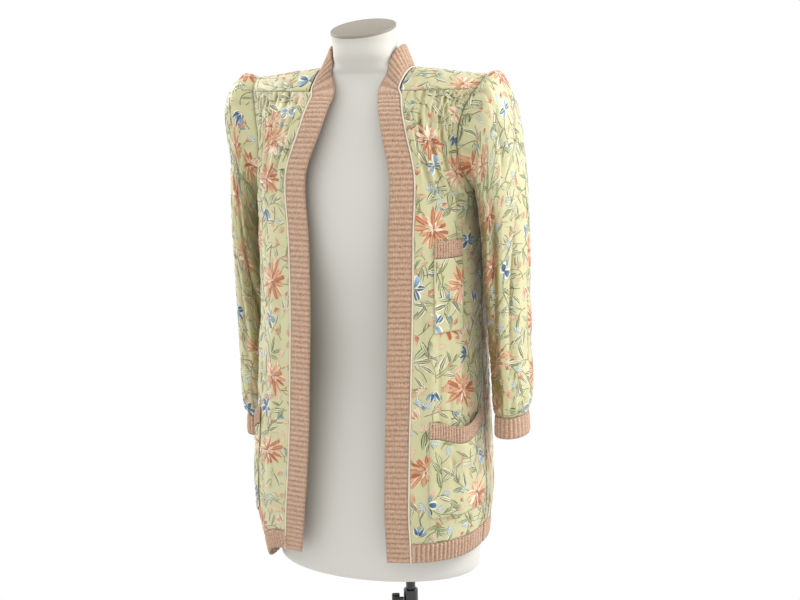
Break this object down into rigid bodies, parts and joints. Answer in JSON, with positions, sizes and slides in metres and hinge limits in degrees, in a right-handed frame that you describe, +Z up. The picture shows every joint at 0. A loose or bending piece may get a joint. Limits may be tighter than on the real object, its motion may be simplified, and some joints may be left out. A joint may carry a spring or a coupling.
{
  "type": "embroidered jacket on a dress form",
  "caption": "Embroidered silk jacket with rib-knit bands, hem and cuffs, worn open on a limbless dress form on a pole stand.",
  "frame": {"origin": "centre of the base plate's underside, on the pole's axis", "axes": "+X the wearer's left, +Y towards the back, +Z up; the front faces -Y"},
  "size_m": [0.5342, 0.3601, 1.5702],
  "materials": {
    "embroidered_silk": "silk satin with dense embroidery",
    "rib_knit": "matt rib knit",
    "piping": "silk piping",
    "form_shell": "smooth painted shell",
    "neck_cap": "matt grey",
    "black_steel": "gloss black enamel"
  },
  "bodies": {
    "stand": {"base": "black_steel", "tube": "black_steel", "collar": "black_steel"},
    "knob": {"knob": "black_steel"},
    "pole": {"pole": "black_steel"},
    "torso": {"form": "form_shell", "neck_cap": "neck_cap", "socket": "black_steel", "front_left_low": "embroidered_silk", "front_left_waist": "embroidered_silk", "front_left_chest": "embroidered_silk", "front_right_low": "embroidered_silk", "front_right_waist": "embroidered_silk", "front_right_chest": "embroidered_silk", "back_left_low": "embroidered_silk", "back_left_waist": "embroidered_silk", "back_left_chest": "embroidered_silk", "back_right_low": "embroidered_silk", "back_right_waist": "embroidered_silk", "back_right_chest": "embroidered_silk", "yoke_left": "embroidered_silk", "yoke_right": "embroidered_silk", "yoke_back": "embroidered_silk", "band_left": "rib_knit", "piping_left": "piping", "band_right": "rib_knit", "piping_right": "piping", "hem_left": "rib_knit", "hem_right": "rib_knit", "hem_back": "rib_knit", "sleeve_left": "embroidered_silk", "cuff_left": "rib_knit", "sleeve_right": "embroidered_silk", "cuff_right": "rib_knit", "hip_pocket_left": "embroidered_silk", "hip_pocket_rib_left": "rib_knit", "hip_pocket_right": "embroidered_silk", "hip_pocket_rib_right": "rib_knit", "breast_pocket": "embroidered_silk", "breast_pocket_rib": "rib_knit"}
  },
  "joints": [
    {"name": "knob_turn", "type": "hinge", "parent": "stand", "child": "knob", "pos_m": [0, 0, 0.551], "axis": [-0.9063, -0.4226, 0], "continuous": true},
    {"name": "height_slide", "type": "slide", "parent": "stand", "child": "pole", "axis": [0, 0, 1], "range_m": [-0.035, 0.3]},
    {"name": "form_swivel", "type": "hinge", "parent": "pole", "child": "torso", "pos_m": [0, 0, 0.63], "axis": [0, 0, 1], "continuous": true}
  ]
}
